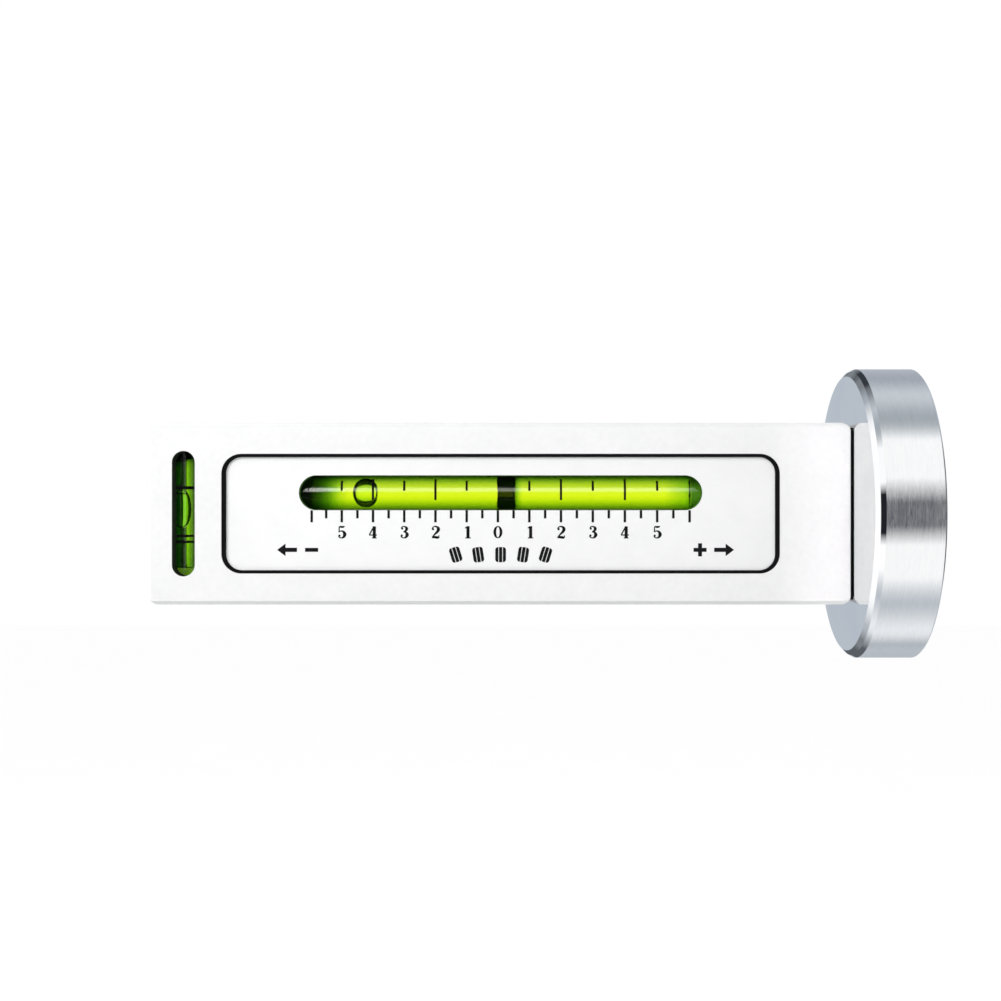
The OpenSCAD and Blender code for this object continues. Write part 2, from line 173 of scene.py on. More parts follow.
def product(tree, first, *others):
    for value in others:
        first = calc(tree, "MULTIPLY", first, value)
    return first


def highest(tree, first, *others):
    for value in others:
        first = calc(tree, "MAXIMUM", first, value)
    return first


def weighted(tree, a, share_a, b, share_b):
    return calc(tree, "ADD", product(tree, a, share_a), product(tree, b, share_b))


def inverse(tree, value):
    return calc(tree, "SUBTRACT", 1.0, value)


def hypotenuse(tree, a, b):
    return calc(tree, "SQRT", calc(tree, "ADD", product(tree, a, a), product(tree, b, b)))


def off_by(tree, value, middle):
    """How far a value lies from a middle, either way."""
    return calc(tree, "ABSOLUTE", calc(tree, "SUBTRACT", value, middle))


def blend_colour(tree, factor, a, b):
    made = add(tree, "Mix", {0: factor, 6: a, 7: b}, data_type="RGBA")
    return made.outputs[2]


def noise(tree, vector, scale, detail=3.0, roughness=0.55):
    made = add(
        tree, "TexNoise",
        {"Vector": vector, "Scale": scale, "Detail": detail, "Roughness": roughness},
    )
    return made.outputs["Fac"]


def ramp_value(tree, value, low, high, to_low=0.0, to_high=1.0):
    """Runs from to_low at low to to_high at high, and stays level beyond both."""
    made = add(
        tree, "MapRange",
        {"Value": value, "From Min": low, "From Max": high, "To Min": to_low, "To Max": to_high},
    )
    return made.outputs[0]


def turn_ramp(tree, angle, low, high, to_low=0.0, to_high=1.0):
    """ramp_value of an angle, with both ends in degrees."""
    return ramp_value(tree, angle, math.radians(low), math.radians(high), to_low, to_high)


def stretched(tree, vector, factors):
    made = add(tree, "VectorMath", {0: vector, 1: factors}, operation="MULTIPLY")
    return made.outputs[0]


def rgb(r, g, b):
    return (r, g, b, 1.0)


def start(name):
    """An empty material: its tree and the object coordinates in mm."""
    material = bpy.data.materials.new(name)
    material.use_nodes = True
    tree = material.node_tree
    tree.nodes.clear()
    place = add(tree, "TexCoord").outputs["Object"]
    return material, tree, stretched(tree, place, (1 / MM, 1 / MM, 1 / MM))


def finished(material, tree, shader):
    output = add(tree, "OutputMaterial")
    tree.links.new(shader.outputs[0], output.inputs["Surface"])
    return material


def bump(tree, height, distance_mm):
    return add(tree, "Bump", {"Height": height, "Distance": distance_mm * MM}).outputs["Normal"]


def plain_surface(name, dark, light, grain, rough, metallic=0.0, bump_mm=0.01, **sockets):
    """A surface with cloudy colour, fine grain, uneven roughness and bump."""
    material, tree, mm = start(name)
    clouds = noise(tree, mm, 0.15, 4.0)
    fine = noise(tree, mm, grain, 2.0)
    mixed = weighted(tree, fine, 0.5, clouds, 0.5)
    shader = add(
        tree, "BsdfPrincipled",
        {
            "Base Color": blend_colour(tree, ramp_value(tree, mixed, *EVEN_SPAN), dark, light),
            "Metallic": metallic,
            "Roughness": ramp_value(tree, mixed, *ROUGH_SPAN, *rough),
            "Normal": bump(tree, fine, bump_mm),
        },
    )
    for socket, value in sockets.items():
        shader.inputs[socket.replace("_", " ")].default_value = value
    return finished(material, tree, shader)


def node_box_mm(node):
    low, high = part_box(node)
    return low / MM, high / MM


def within(tree, parts, low, high):
    """1 where X and Z lie inside a box, with 0.1 mm to spare, else 0."""
    inside = 1.0
    for axis in (0, 2):
        reach = (high[axis] - low[axis]) / 2
        aside = off_by(tree, parts.outputs[axis], (low[axis] + high[axis]) / 2)
        edge = ramp_value(tree, aside, *(reach + spare for spare in BOX_SPARE))
        inside = product(tree, edge, inside)
    return inside


# ---------------------------------------------------------------- materials
# Where a surface's colour changes. A pair is where the change starts and where it is full.
BOX_SPARE = (0.12, 0.1)         # outside the box that within() tests
EDGE_WEAR = (1.2, 0.2)          # in from the top and bottom edges
UNDER_PLATES = (1.22, 1.30)     # under the front and back faces
UNDER_FACES = (0.02, 0.05)      # the same, round the cross-level vial
WINDOW_SPARE = (0.5, 1.2)       # the window's walls lie this far left and right of its vial
FRONT_MOUTH = (0.6, 0.05)       # behind the front face
BACK_MOUTH = (3.2, 0.05)        # ahead of the back face
BORE_DEPTH = (0.15, -0.1)       # past the vial's front and back
NECK_START = (0.04, 0.01)       # beside the joint's groove
SLOT_SPARE = (0.03, 0.02)       # outside the edge of the scale plates' slots
SLOT_FRONT = (0.01, 0.3)        # behind the camber plate's face
SLOT_BACK = (0.01, 1.0)         # ahead of the caster plate's face
PLUG_RIGHT = (10.0, 8.0)        # left of the long vial's right end
PLUG_BOTTOM = (4.0, 3.0)        # above the short vial's lower end


def satin_bar():
    """Pearl-blasted, anodised bar: fine mottling, a little wear along its long edges, and painted
    shade and painted green light on the walls inside it.
    """
    material, tree, mm = start("satin_bar")
    clouds = noise(tree, mm, 0.12, 5.0)
    patches = noise(tree, mm, 0.9, 4.0)
    grain = noise(tree, mm, 9.0, 2.0)
    mixed = weighted(tree, clouds, 0.5, patches, 0.5)
    colour = blend_colour(
        tree, ramp_value(tree, mixed, *TONE_SPAN), rgb(0.89, 0.892, 0.894), rgb(0.935, 0.935, 0.935)
    )
    low, high = node_box_mm("body_bar")
    parts = add(tree, "SeparateXYZ", {0: mm})
    x, y, z = parts.outputs
    height = calc(tree, "ABSOLUTE", z)
    edge = ramp_value(tree, height, *(high.z - wear for wear in EDGE_WEAR))
    worn = product(tree, edge, ramp_value(tree, patches, 0.45, 0.6))
    colour = blend_colour(tree, product(tree, worn, 0.35), colour, rgb(0.80, 0.805, 0.81))

    # the walls under the scale plates and round the cross-level vial are painted with shade and
    # with the green light that comes through the liquid
    depth = calc(tree, "ABSOLUTE", y)
    scale_walls = product(
        tree,
        within(tree, parts, *node_box_mm("camber_scale_gasket")),
        ramp_value(tree, depth, *(high.y - under for under in UNDER_PLATES)),
    )
    tube_low, tube_high = node_box_mm("level_vial_tube")
    left, right = (Vector((spare, 0, 0)) for spare in WINDOW_SPARE)
    level_walls = product(
        tree,
        within(tree, parts, tube_low - left, tube_high + right),
        ramp_value(tree, depth, *(high.y - under for under in UNDER_FACES)),
    )
    neck = ramp_value(tree, x, *(high.x - JOINT_GAP - before for before in NECK_START))
    inside = highest(tree, neck, scale_walls, level_walls)
    # painted shade, tinted by the green light through the vial, on the walls under the scale plates
    painted_seat_shade = blend_colour(tree, patches, rgb(0.04, 0.15, 0.01), rgb(0.08, 0.26, 0.02))
    # painted shade in the cross-level vial's window: dark deep inside, pale near its mouths
    mouth = highest(
        tree,
        ramp_value(tree, y, *(low.y + behind for behind in FRONT_MOUTH)),
        ramp_value(tree, y, *(high.y - ahead for ahead in BACK_MOUTH)),
    )
    painted_window_shade = blend_colour(tree, mouth, rgb(0.002, 0.014, 0.001), rgb(0.60, 0.64, 0.55))
    # painted green light on the back of the bore, where light through the liquid falls
    painted_bore_light = blend_colour(tree, patches, rgb(0.82, 0.97, 0.60), rgb(0.90, 1.0, 0.70))
    bore = ramp_value(tree, depth, *(tube_high.y + past for past in BORE_DEPTH))
    painted_level_light_and_shade = blend_colour(tree, bore, painted_window_shade, painted_bore_light)
    painted_inner_light_and_shade = blend_colour(tree, level_walls, painted_seat_shade, painted_level_light_and_shade)
    # painted shade: the joint's groove and the bar's end beside it are coloured near-black
    painted_inner_light_and_shade = blend_colour(tree, neck, painted_inner_light_and_shade, rgb(0.003, 0.003, 0.003))
    shader = add(
        tree, "BsdfPrincipled",
        {
            "Base Color": blend_colour(tree, inside, colour, painted_inner_light_and_shade),
            "Metallic": product(tree, inverse(tree, inside), 0.2),
            "Roughness": highest(
                tree, ramp_value(tree, mixed, *ROUGH_SPAN, 0.40, 0.50), product(tree, inside, 0.95)
            ),
            "Normal": bump(tree, grain, 0.004),
        },
    )
    return finished(material, tree, shader)


def slot_wall(tree, mm):
    """1 on the walls of the scale plates' slots, which are painted with shade and the vial's green
    light, else 0.
    """
    tube_low, tube_high = node_box_mm("camber_vial_tube")
    middle = (tube_low + tube_high) / 2
    straight = (tube_high.x - tube_low.x) / 2 - SLOT_INSET - SLOT_HALF
    x, y, z = add(tree, "SeparateXYZ", {0: mm}).outputs
    past = highest(tree, calc(tree, "SUBTRACT", off_by(tree, x, middle.x), straight), 0.0)
    reach = hypotenuse(tree, past, calc(tree, "SUBTRACT", z, middle.z))
    camber_y = node_box_mm("camber_scale_plate")[0].y
    caster_y = node_box_mm("caster_scale_plate")[1].y
    return product(
        tree,
        ramp_value(tree, reach, *(SLOT_HALF + spare for spare in SLOT_SPARE)),
        ramp_value(tree, y, *(camber_y + behind for behind in SLOT_FRONT)),
        ramp_value(tree, y, *(caster_y - ahead for ahead in SLOT_BACK)),
    )


def printed_plate():
    """Anodised scale plate, a little smoother than the bar, with a faint lengthwise grain; the
    walls of its slot carry painted shade tinted by the vial's green light.
    """
    material, tree, mm = start("printed_plate")
    clouds = noise(tree, mm, 0.15, 5.0)
    lines = noise(tree, stretched(tree, mm, (0.35, 9.0, 9.0)), 1.0, 3.0)
    mixed = weighted(tree, clouds, 0.6, lines, 0.4)
    colour = blend_colour(
        tree, ramp_value(tree, mixed, *TONE_SPAN), rgb(0.895, 0.896, 0.90), rgb(0.935, 0.935, 0.938)
    )
    slot = slot_wall(tree, mm)
    # painted shade on the slot walls, tinted green by the light through the vial
    wall = blend_colour(tree, clouds, rgb(0.01, 0.035, 0.004), rgb(0.03, 0.08, 0.008))
    shader = add(
        tree, "BsdfPrincipled",
        {
            "Base Color": blend_colour(tree, slot, colour, wall),
            "Metallic": product(tree, inverse(tree, slot), 0.12),
            "Roughness": ramp_value(tree, mixed, *ROUGH_SPAN, 0.36, 0.46),
            "Normal": bump(tree, lines, 0.003),
        },
    )
    return finished(material, tree, shader)


def turned_cup():
    """Steel cup: streaks run round its rim, its two flat faces carry fine turning rings."""
    material, tree, mm = start("turned_cup")
    y, z = add(tree, "SeparateXYZ", {0: mm}).outputs[1:]
    radius = hypotenuse(tree, y, z)
    normal = add(tree, "NewGeometry").outputs["Normal"]
    along = calc(tree, "ABSOLUTE", add(tree, "SeparateXYZ", {0: normal}).outputs[0])
    flat = ramp_value(tree, along, 0.9, 0.98)
    rim = ramp_value(tree, along, 0.25, 0.1)

    streaks = noise(tree, stretched(tree, mm, (11.0, 0.55, 0.55)), 1.0, 3.0, 0.6)
    broad = noise(tree, stretched(tree, mm, (1.4, 0.12, 0.12)), 1.0, 3.0)
    outward = add(tree, "CombineXYZ", {0: product(tree, radius, 7.0)}).outputs[0]
    rings = noise(tree, outward, 1.0, 3.0)
    smears = noise(tree, mm, 0.12, 4.0)
    brushed = weighted(tree, streaks, 0.75, broad, 0.25)
    rim_colour = blend_colour(
        tree, ramp_value(tree, brushed, *EVEN_SPAN), rgb(0.89, 0.90, 0.915), rgb(0.99, 0.99, 0.99)
    )
    face_colour = blend_colour(
        tree, ramp_value(tree, smears, 0.4, 0.6), rgb(0.94, 0.95, 0.965), rgb(0.98, 0.98, 0.985)
    )
    face_rough = ramp_value(tree, smears, *EVEN_SPAN, 0.025, 0.05)
    rim_rough = ramp_value(tree, brushed, *EVEN_SPAN, 0.07, 0.13)
    rough = add(tree, "Mix", {0: rim, 2: face_rough, 3: rim_rough}, data_type="FLOAT")
    height = calc(
        tree, "ADD", product(tree, streaks, rim), product(tree, rings, flat, 0.15)
    )
    shader = add(
        tree, "BsdfPrincipled",
        {
            "Base Color": blend_colour(tree, rim, face_colour, rim_colour),
            "Metallic": 1.0,
            "Roughness": rough.outputs[0],
            "Normal": bump(tree, height, 0.0007),
        },
    )
    return finished(material, tree, shader)


def thin_glass():
    """The vial's wall: what lies behind shows through, with the sheen of glass."""
    material, tree, mm = start("thin_glass")
    smears = noise(tree, mm, 0.35, 4.0)
    clear = add(tree, "BsdfTransparent", {"Color": rgb(0.985, 0.995, 0.98)})
    sheen = add(
        tree, "BsdfGlossy",
        {"Color": rgb(1, 1, 1), "Roughness": ramp_value(tree, smears, 0.4, 0.7, 0.045, 0.075)},
    )
    outward = inverse(tree, add(tree, "NewGeometry").outputs["Backfacing"])
    facing = product(tree, add(tree, "Fresnel", {"IOR": 1.5}).outputs[0], outward)
    mixed = add(tree, "MixShader", {0: facing, 1: clear.outputs[0], 2: sheen.outputs[0]})
    return finished(material, tree, mixed)


def clear_body(material, tree, tint, index, shade):
    """Clear glass of a tint. Its shadow is only the shade, so light reaches what lies behind."""
    glass = add(tree, "BsdfGlass", {"Color": tint, "Roughness": 0.0, "IOR": index})
    clear = add(tree, "BsdfTransparent", {"Color": shade})
    shadow = add(tree, "LightPath").outputs["Is Shadow Ray"]
    mixed = add(tree, "MixShader", {0: shadow, 1: glass.outputs[0], 2: clear.outputs[0]})
    return finished(material, tree, mixed)


def liquid(name, profile, across, index):
    """Clear dyed liquid with painted shade: its colour darkens towards the sides and ends of its
    vial.
    """
    material, tree, mm = start(name)
    parts = add(tree, "SeparateXYZ", {0: mm})
    swirl = calc(tree, "SUBTRACT", noise(tree, mm, 0.25, 3.0), 0.5)
    share = ramp_value(tree, parts.outputs[across], *profile["span"])
    wavy = calc(tree, "ADD", share, product(tree, swirl, 0.02))
    # painted shade across the vial, darkest at its sides
    sides = add(tree, "ValToRGB", {0: wavy})
    fill_ramp(sides.color_ramp, profile["stops"])
    low, high = profile["length"]
    # painted shade towards the vial's ends and in the bridge's shadow
    ends = add(tree, "ValToRGB", {0: ramp_value(tree, parts.outputs[2 - across], low, high)})
    shares = [(place / (high - low), colour) for place, colour in profile["along"]]
    fill_ramp(ends.color_ramp, shares, "LINEAR")
    tint = add(
        tree, "Mix", {0: 1.0, 6: sides.outputs["Color"], 7: ends.outputs["Color"]},
        data_type="RGBA", blend_type="MULTIPLY",
    ).outputs[2]
    return clear_body(material, tree, tint, index, rgb(0.9, 1.0, 0.5))


def fill_ramp(ramp, listed, interpolation="B_SPLINE"):
    """Sets a colour ramp's stops from (place, colour) pairs."""
    ramp.interpolation = interpolation
    while len(ramp.elements) > 1:
        ramp.elements.remove(ramp.elements[-1])
    for i, (place, colour) in enumerate(listed):
        element = ramp.elements[0] if i == 0 else ramp.elements.new(place)
        element.position = place
        element.color = (*colour, 1.0)


def air():
    """A bubble in the liquid: light bends the other way at its skin."""
    material, tree, mm = start("air")
    swirl = noise(tree, mm, 0.5, 3.0)
    tint = blend_colour(tree, swirl, rgb(0.90, 1.0, 0.85), rgb(1.0, 1.0, 1.0))
    return clear_body(material, tree, tint, 0.8, rgb(1, 1, 1))


# A liquid's colours, with painted shade: "stops" run across its vial as shares, "along" runs from
# one end in mm
low, high = node_box_mm("camber_vial_fluid")
length = high.x - low.x
CAMBER_PROFILE = {
    "span": (low.z, high.z),
    "stops": [
        (0.0, (0.07, 0.17, 0.01)), (0.05, (0.20, 0.35, 0.05)), (0.16, (0.46, 0.67, 0.05)),
        (0.30, (0.80, 0.97, 0.05)), (0.40, (0.91, 1.0, 0.10)), (0.50, (0.90, 1.0, 0.16)),
        (0.60, (0.86, 0.96, 0.18)), (0.70, (0.75, 0.88, 0.16)), (0.79, (0.58, 0.76, 0.12)),
        (0.87, (0.28, 0.46, 0.07)), (0.93, (0.07, 0.16, 0.02)), (1.0, (0.04, 0.10, 0.01)),
    ],
    "length": (low.x, high.x),
    "along": [
        (0.0, (0.08, 0.15, 0.06)), (0.9, (0.13, 0.22, 0.10)), (2.0, (0.21, 0.36, 0.20)),
        (3.15, (0.355, 0.52, 0.35)), (4.3, (0.57, 0.72, 0.60)), (5.45, (0.81, 0.89, 0.85)),
        (7.2, (1.0, 1.0, 1.0)), (SHADE_X - low.x, (1.0, 1.0, 1.0)),
        (SHADE_X - low.x + 0.3, (0.35, 0.50, 0.30)), (SHADE_X - low.x + 1.0, (0.75, 0.86, 0.75)),
        (SHADE_X - low.x + 1.8, (1.0, 1.0, 1.0)), (length - 5.0, (1.0, 1.0, 1.0)),
        (length - 2.2, (0.78, 0.88, 0.80)), (length - 1.0, (0.72, 0.86, 0.76)),
        (length - 0.4, (0.62, 0.78, 0.68)), (length, (0.50, 0.68, 0.56)),
    ],
}
camber_liquid = liquid("camber_liquid_skin", CAMBER_PROFILE, 2, 1.15)
low, high = node_box_mm("level_vial_fluid")
length = high.z - low.z
LEVEL_PROFILE = {
    "span": (low.x, high.x),
    "stops": [
        (0.0, (0.10, 0.42, 0.01)), (0.28, (0.36, 0.78, 0.03)), (0.42, (0.52, 0.84, 0.08)),
        (0.74, (0.52, 0.80, 0.09)), (0.84, (0.28, 0.44, 0.10)), (1.0, (0.14, 0.22, 0.12)),
    ],
    "length": (low.z, high.z),
    "along": [
        (0.0, (0.80, 0.88, 0.80)), (3.0, (0.92, 0.95, 0.92)), (6.0, (1.0, 1.0, 1.0)),
        (length - 2.0, (0.96, 0.97, 0.96)), (length - 0.7, (0.80, 0.84, 0.80)),
        (length, (0.35, 0.45, 0.35)),
    ],
}
level_liquid = liquid("level_liquid_skin", LEVEL_PROFILE, 0, 1.0)


def plug_skin():
    """Dark green plug, paler where light comes through it: to the right and at the bottom."""
    material, tree, mm = start("plug_skin")
    x, _, z = add(tree, "SeparateXYZ", {0: mm}).outputs
    right_end = node_box_mm("camber_vial_tube")[1].x
    bottom_end = node_box_mm("level_vial_tube")[0].z
    right = ramp_value(tree, x, *(right_end - before for before in PLUG_RIGHT))
    bottom = ramp_value(tree, z, *(bottom_end + above for above in PLUG_BOTTOM))
    grain = noise(tree, mm, 3.0, 3.0)
    dark = blend_colour(tree, grain, rgb(0.001, 0.005, 0.001), rgb(0.003, 0.012, 0.002))
    middling = blend_colour(tree, grain, rgb(0.11, 0.37, 0.015), rgb(0.16, 0.44, 0.02))
    pale = blend_colour(tree, grain, rgb(0.42, 0.90, 0.05), rgb(0.56, 1.0, 0.08))
    colour = blend_colour(tree, right, dark, middling)
    shader = add(
        tree, "BsdfPrincipled",
        {
            "Base Color": blend_colour(tree, bottom, colour, pale),
            "Roughness": ramp_value(tree, grain, *ROUGH_SPAN, 0.4, 0.55),
            "Specular IOR Level": 0.0,
            "Normal": bump(tree, grain, 0.01),
        },
    )
    return finished(material, tree, shader)


MATERIALS = {
    "satin_aluminium": satin_bar(),
    "printed_aluminium": printed_plate(),
    "black_rubber": plain_surface(
        "black_rubber_skin", rgb(0.002, 0.002, 0.002), rgb(0.005, 0.005, 0.005), 5.0, (0.7, 0.85),
        Specular_IOR_Level=0.15,
    ),
    "clear_tube": thin_glass(),
    "vial_plug": plug_skin(),
    "black_band": plain_surface(
        "black_ink", rgb(0.003, 0.003, 0.003), rgb(0.009, 0.009, 0.01), 7.0, (0.6, 0.75),
        Specular_IOR_Level=0.15,
    ),
    "magnet_ceramic": plain_surface(
        "sintered_magnet", rgb(0.055, 0.056, 0.06), rgb(0.12, 0.122, 0.13), 4.0, (0.4, 0.55),
        metallic=0.3, bump_mm=0.03,
    ),
    "black_resin": plain_surface(
        "potting_resin", rgb(0.008, 0.008, 0.01), rgb(0.02, 0.02, 0.022), 0.8, (0.2, 0.35),
        bump_mm=0.05,
    ),
    "bright_steel": plain_surface(
        "zinc_plate", rgb(0.52, 0.53, 0.56), rgb(0.72, 0.73, 0.75), 4.0, (0.22, 0.34), metallic=1.0
    ),
    "black_steel": plain_surface(
        "black_oxide", rgb(0.02, 0.02, 0.022), rgb(0.05, 0.05, 0.053), 4.0, (0.3, 0.42),
        metallic=0.7,
    ),
    "air_bubble": air(),
    "turned_steel": turned_cup(),
    "vial_liquid": camber_liquid,
}

for part in frame["record"]["subparts"]:
    mesh = nodes[part["node"]].data
    mesh.materials.clear()
    mesh.materials.append(MATERIALS[part["material_slot"]])


# ---------------------------------------------------------------- mesh helpers
def new_mesh(name, points, faces, material, smooth=False):
    """A piece from points in mm. It rides on the gauge."""
    mesh = bpy.data.meshes.new(name)
    mesh.from_pydata([[c * MM for c in p] for p in points], [], faces)
    mesh.validate()
    mesh.materials.append(material)
    for polygon in mesh.polygons:
        polygon.use_smooth = smooth
    piece = bpy.data.objects.new(name, mesh)
    bpy.context.scene.collection.objects.link(piece)
    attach(piece, "gauge")
    return piece


class Print:
    """Flat ink shapes on a face of the gauge. side is -1 on the front and 1 on the back."""

    def __init__(self, name, face_y, side):
        self.name, self.face_y, self.side = name, face_y, side
        self.points, self.faces, self.count = [], [], 0

    def place(self, x, z, lift):
        return (x, self.face_y + self.side * lift, z)

    def outline(self, loop):
        """An outline that doesn't cross itself, as (x, z), drawn as a thin plate."""
        self.count += 1
        lift = PRINT_THICK + PRINT_STEP * (self.count % PRINT_STEPS)
        base, n = len(self.points), len(loop)
        self.points += [self.place(x, z, lift) for x, z in loop]
        self.points += [self.place(x, z, 0.0) for x, z in loop]
        self.faces.append([base + i for i in range(n)])
        self.faces.append([base + n + i for i in reversed(range(n))])
        for i in range(n):
            j = (i + 1) % n
            self.faces.append([base + i, base + n + i, base + n + j, base + j])

    def bar(self, x, z, wide, high, turn=0.0):
        c, s = math.cos(turn), math.sin(turn)
        corners = [(-wide / 2, -high / 2), (wide / 2, -high / 2), (wide / 2, high / 2),
                   (-wide / 2, high / 2)]
        self.outline([(x + c * a - s * b, z + s * a + c * b) for a, b in corners])

    def disc(self, x, z, r, steps=20):
        self.outline([
            (x + r * math.cos(2 * math.pi * i / steps), z + r * math.sin(2 * math.pi * i / steps))
            for i in range(steps)
        ])

    def ribbon(self, x, z, size, turn, strokes):
        """A pen stroke of changing width: points of (across, up, width) in shares of size."""
        left, right = [], []
        line = smooth_line(strokes)
        for i, (a, b, w) in enumerate(line):
            before, after = line[max(i - 1, 0)], line[min(i + 1, len(line) - 1)]
            da, db = after[0] - before[0], after[1] - before[1]
            length = math.hypot(da, db) or 1.0
            pen = w * PEN_WEIGHT / 2
            na, nb = -db / length * pen, da / length * pen
            left.append((a + na, b + nb))
            right.append((a - na, b - nb))
        c, s = math.cos(turn), math.sin(turn)
        flip = -self.side
        for i in range(len(line) - 1):
            quad = [left[i], right[i], right[i + 1], left[i + 1]]
            self.outline([
                (x + flip * size * NUMERAL_WIDE * (c * a - s * b), z + size * (s * a + c * b))
                for a, b in quad
            ])

    def numeral(self, digit, x, z, size):
        """One numeral. A 9 is a 6 turned round."""
        turn, base = 0.0, z
        if digit == "9":
            digit, turn, base = "6", math.pi, z + size
        sign = -1 if turn else 1
        for kind, shape in NUMERALS[digit]:
            if kind == "dot":
                a, b, r = shape
                self.disc(x - self.side * size * NUMERAL_WIDE * sign * a, base + size * sign * b,
                          DOT_SWELL * r * size)
            else:
                self.ribbon(x, base, size, turn, shape)

    def number(self, text, x, z, size):
        step = NUMERAL_STEP_SHARE * size
        for i, digit in enumerate(text):
            offset = (i - (len(text) - 1) / 2) * step
            self.numeral(digit, x - self.side * offset, z, size)

    def finish(self):
        new_mesh(self.name, self.points, self.faces, MATERIALS["black_band"])


def smooth_line(points, steps=5):
    """Catmull-Rom line through points of (across, up, width)."""
    if len(points) < 3:
        return points
    line = []
    padded = [points[0]] + list(points) + [points[-1]]
    for i in range(1, len(padded) - 2):
        p0, p1, p2, p3 = padded[i - 1:i + 3]
        for k in range(steps):
            t = k / steps
            line.append(tuple(
                0.5 * (2 * b + (c - a) * t + (2 * a - 5 * b + 4 * c - d) * t * t
                       + (3 * b - a - 3 * c + d) * t ** 3)
                for a, b, c, d in zip(p0, p1, p2, p3)
            ))
    line.append(points[-1])
    return line


def oval(a, b, thick, thin, steps=24):
    """A closed ribbon for a round numeral, thick at its sides."""
    line = []
    for i in range(steps + 1):
        t = 2 * math.pi * i / steps
        share = abs(math.cos(t)) ** 1.5
        line.append((a * math.cos(t), 0.5 + b * math.sin(t), thin + (thick - thin) * share))
    return line


NUMERALS = {
    "0": [("pen", oval(0.215, 0.46, 0.115, 0.05))],
    "1": [
        ("pen", [(0.09, 0.02, 0.13), (0.09, 0.99, 0.13)]),
        ("pen", [(-0.11, 0.83, 0.05), (0.05, 0.92, 0.07)]),
        ("pen", [(-0.1, 0.025, 0.05), (0.28, 0.025, 0.05)]),
    ],
    "2": [
        ("dot", (-0.165, 0.745, 0.072)),
        ("pen", [(-0.225, 0.72, 0.03), (-0.19, 0.87, 0.05), (-0.02, 0.97, 0.06), (0.16, 0.88, 0.11),
                 (0.205, 0.72, 0.135), (0.13, 0.53, 0.11), (-0.06, 0.31, 0.07),
                 (-0.215, 0.08, 0.05)]),
        ("pen", [(-0.245, 0.05, 0.07), (-0.1, 0.09, 0.11), (0.08, 0.07, 0.13), (0.19, 0.06, 0.1),
                 (0.235, 0.14, 0.05), (0.25, 0.25, 0.03)]),
    ],
    "3": [
        ("dot", (-0.14, 0.79, 0.068)),
        ("pen", [(-0.2, 0.78, 0.03), (-0.16, 0.91, 0.05), (-0.01, 0.97, 0.055), (0.14, 0.88, 0.1),
                 (0.165, 0.75, 0.12), (0.1, 0.61, 0.09), (-0.05, 0.53, 0.05)]),
        ("pen", [(-0.05, 0.53, 0.05), (0.13, 0.47, 0.09), (0.205, 0.29, 0.14), (0.13, 0.1, 0.1),
                 (-0.02, 0.025, 0.055), (-0.18, 0.09, 0.05), (-0.23, 0.2, 0.03)]),
        ("dot", (-0.17, 0.22, 0.07)),
    ],
    "4": [
        ("pen", [(0.07, 0.98, 0.06), (-0.25, 0.28, 0.055)]),
        ("pen", [(-0.27, 0.265, 0.055), (0.27, 0.265, 0.055)]),
        ("pen", [(0.09, 0.03, 0.13), (0.09, 0.97, 0.13)]),
        ("pen", [(-0.07, 0.025, 0.05), (0.25, 0.025, 0.05)]),
    ],
    "5": [
        ("pen", [(-0.17, 0.96, 0.05), (-0.02, 0.925, 0.1), (0.1, 0.935, 0.09), (0.2, 0.99, 0.03)]),
        ("pen", [(-0.17, 0.97, 0.045), (-0.19, 0.5, 0.05)]),
        ("pen", [(-0.19, 0.5, 0.04), (-0.05, 0.6, 0.055), (0.12, 0.53, 0.1), (0.205, 0.32, 0.14),
                 (0.13, 0.1, 0.1), (-0.03, 0.025, 0.055), (-0.18, 0.09, 0.05),
                 (-0.225, 0.19, 0.03)]),
        ("dot", (-0.165, 0.21, 0.07)),
    ],
    "6": [
        ("dot", (0.145, 0.81, 0.065)),
        ("pen", [(0.2, 0.82, 0.03), (0.15, 0.93, 0.045), (0.0, 0.97, 0.055), (-0.15, 0.84, 0.1),
                 (-0.21, 0.5, 0.14), (-0.16, 0.16, 0.11), (0.0, 0.025, 0.055), (0.16, 0.12, 0.1),
                 (0.205, 0.3, 0.13), (0.14, 0.49, 0.09), (0.0, 0.57, 0.05), (-0.14, 0.48, 0.05),
                 (-0.18, 0.36, 0.05)]),
    ],
}


# ---------------------------------------------------------------- print on the camber scale
low, high = node_box_mm("camber_scale_plate")
front_y = low.y
middle_x = (low.x + high.x) / 2
tube_low, tube_high = node_box_mm("camber_vial_tube")
tube_z = (tube_low.z + tube_high.z) / 2
tube_r = (tube_high.z - tube_low.z) / 2
slot_bottom_z = tube_z - SLOT_HALF


def degree_x(degree):
    if degree > 0:
        offset = degree * (DEGREE_RIGHT + DEGREE_GROWTH * degree)
    else:
        offset = max(degree * DEGREE_LEFT, -LAST_LEFT)
    return middle_x + ZERO_X + offset


def tick(ink, x, long):
    high = TICK_LONG if long else TICK_SHORT
    ink.bar(x, slot_bottom_z - high / 2, TICK_WIDE, high)


def arrow(ink, x, z, way):
    """A solid arrow towards -X (-1) or +X (1)."""
    shaft = ARROW_HALF + ARROW_NECK + ARROW_LAP
    ink.bar(x - way * (ARROW_HALF - shaft / 2), z, shaft, ARROW_SHAFT)
    ink.outline([
        (x + way * ARROW_NECK, z - ARROW_HEAD_HALF), (x + way * ARROW_HALF, z),
        (x + way * ARROW_NECK, z + ARROW_HEAD_HALF),
    ])


def minus(ink, x, z):
    ink.bar(x, z, SIGN_LONG, SIGN_STROKE)


def plus(ink, x, z):
    minus(ink, x, z)
    arm = (SIGN_LONG - SIGN_STROKE) / 2
    for side in (-1, 1):
        ink.bar(x, z + side * (SIGN_STROKE + arm) / 2, SIGN_STROKE, arm)


